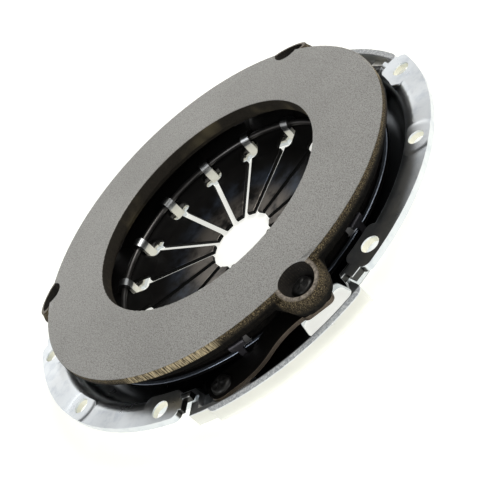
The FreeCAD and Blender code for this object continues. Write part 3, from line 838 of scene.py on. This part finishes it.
def strap_leaf(turn, leaf):
    """One leaf as a swept bar from the lug to the cover."""
    start = polar(lug_radius, lug_angle + turn)
    end = polar(lug_radius, cover_rivet_angle + turn)
    forward = (end - start) / strap_span_mm
    sideways = np.array([-forward[1], forward[0], 0])
    upward = np.array([0, 0, 1.0])
    round_end = strap_half_mm * np.sin(np.linspace(0, 0.97, 12) * math.pi / 2)
    corner = pad_reach_mm - pad_corner_mm * (1 - np.cos(np.linspace(0, math.pi / 2, 6)))
    s = np.concatenate([
        -corner, [0], corner[::-1], np.linspace(pad_reach_mm + 0.01, strap_span_mm, 44),
        strap_span_mm + round_end[1:]
    ])
    inset = np.clip(pad_corner_mm - pad_reach_mm + np.abs(s), 0, pad_corner_mm)
    pad = pad_half_mm - pad_corner_mm + np.sqrt(pad_corner_mm**2 - inset**2)
    pad = np.where(np.abs(s) <= pad_reach_mm, pad, 0)
    over = np.maximum(s - strap_span_mm, 0)
    bar = np.where(s >= 0, np.sqrt(np.maximum(strap_half_mm**2 - over**2, leaf_end_mm**2)), 0)
    thick, corner = np.full(len(s), leaf_mm / 2), np.full(len(s), leaf_round_mm)
    side, up = rounded_loop(np.maximum(pad, bar), thick, corner, across=4, arc=2)
    z = leaf_top_mm - leaf_mm / 2 - leaf * leaf_step_mm + strap_height(s)
    centre = start + s[:, None] * forward + z[:, None] * upward
    points = centre[:, None, :] + side[..., None] * sideways + up[..., None] * upward
    return points, start, end


for pack in range(3):
    for leaf in range(3):
        points, start, end = strap_leaf(pack * third, leaf)
        name = f"strap_{pack + 1}_{leaf + 1}"
        piece = skin(name, points, strap_steel)
        cut_edges(piece, strap_edge)
        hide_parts(f"drive_strap_{pack + 1}_leaf_{leaf + 1}")
        start * MM
        end * MM
        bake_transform(piece)
print("leaves:", 9, "span:", round(strap_span_mm, 2), "mm")

# %% [markdown]
# ## Rivets
# A strap rivet is formed by a tool with four punches, which leaves a head with
# four lobes and a star of dents. The head is a turned profile whose height and
# radius both depend on the angle, which keeps it one closed surface.

# %% Rivets
head_mm = 4.6
dent_mm = 0.75
waist_share = 0.07
head_rows = 10
rivet_steps = 72
lug_rivet_z = (pocket_floor_mm + 0.02, pocket_floor_mm + 2.32, 17.82, 15.52)
cover_rivet_z = (12.18, 14.48, 6.48, 4.18)


def formed_rivet(name, node, centre, heights, body):
    """Turned rivet; head height falls by a dent, z = dome - d cos^2(2 a) g(r)."""
    head_low, head_high, tail_high, tail_low = heights
    across = np.array([
        0, 0.8, 1.6, 2.4, 3.2, 4.0, 4.6, 5.0, 5.25, 5.3,
        5.3, 3.0, 3.0, 5.3, 5.3, 5.2, 4.6, 3.4, 1.8, 0
    ])
    height = np.concatenate([
        head_high + np.array([0, 0, -0.02, -0.08, -0.2, -0.42, -0.72, -1.1, -1.6]),
        [head_low + 0.3, head_low, head_low, tail_high, tail_high],
        tail_low + np.array([1.1, 0.7, 0.25, 0, 0, 0])
    ])
    angle = np.linspace(0, 2 * math.pi, rivet_steps + 1)[:-1, None]
    lobe = np.cos(2 * angle) ** 2
    on_head = np.arange(len(across)) < head_rows
    dent = np.sin(np.clip(across / head_mm, 0, 1) * math.pi) ** 2
    z = height - on_head * dent_mm * lobe * dent
    r = across * (1 - on_head * waist_share * lobe)
    points = np.stack([centre[0] + r * np.cos(angle), centre[1] + r * np.sin(angle), z], axis=-1)
    points = points.transpose(1, 0, 2).reshape(-1, 3)
    faces = grid_quads(len(across), rivet_steps).tolist()
    piece = new_piece(name, points, faces, rivet_steel, 50.0)
    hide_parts(node)
    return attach(piece, body)


for pack in range(3):
    place = polar(lug_radius, lug_angle + pack * third)
    formed_rivet(f"lug_head_{pack + 1}", f"lug_rivet_{pack + 1}", place, lug_rivet_z, "plate_body")
    place = polar(lug_radius, cover_rivet_angle + pack * third)
    node = f"strap_cover_rivet_{pack + 1}"
    formed_rivet(f"cover_head_{pack + 1}", node, place, cover_rivet_z, "cover_body")
print("rivets:", 6)

# %% [markdown]
# ## Clips and their rivets
# The six retraction clips and the small rivets under the plate keep their CAD
# solids, because their bends are already right. They only get their finish.

# %% Clips
clip_finishes = {"retraction_clip_": clip_steel, "clip_rivet_": rivet_steel}
dressed = 0
for name, node in nodes.items():
    for start, finish in clip_finishes.items():
        if name.startswith(start):
            node.data.materials.clear()
            node.data.materials.append(finish)
            dressed += 1
print("clips and clip rivets dressed:", dressed)
